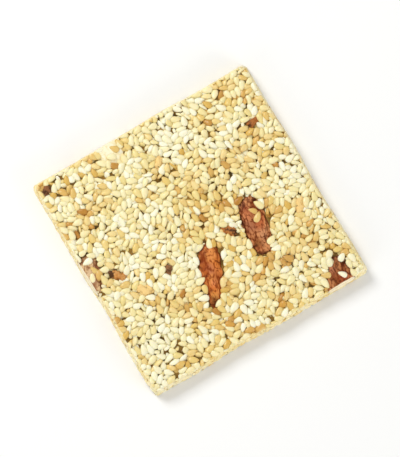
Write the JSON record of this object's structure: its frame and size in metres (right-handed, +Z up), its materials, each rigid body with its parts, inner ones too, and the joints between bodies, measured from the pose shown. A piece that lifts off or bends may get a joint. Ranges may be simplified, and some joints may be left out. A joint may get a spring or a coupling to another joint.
{
  "type": "sesame almond slice",
  "caption": "Thin square slice of sesame brittle with pieces of almond set in its top, cut with leaning sides and rolled flat.",
  "frame": {"origin": "centre of the flat underside", "axes": "+Z up through the rolled top; +X and +Y along the cut sides"},
  "size_m": [0.0759, 0.0751, 0.0055],
  "materials": {
    "sesame_brittle": "pale toasted seeds in clear boiled sugar, softly glossy",
    "almond_skin": "wrinkled red-brown skin with a thin sugar glaze",
    "almond_flesh": "pale cream split face, matt"
  },
  "bodies": {
    "root": {"sesame_slab": "sesame_brittle", "almond_middle": "almond_skin", "almond_front": "almond_skin", "almond_corner": "almond_skin", "almond_left": "almond_skin", "almond_back": "almond_flesh"}
  },
  "joints": []
}
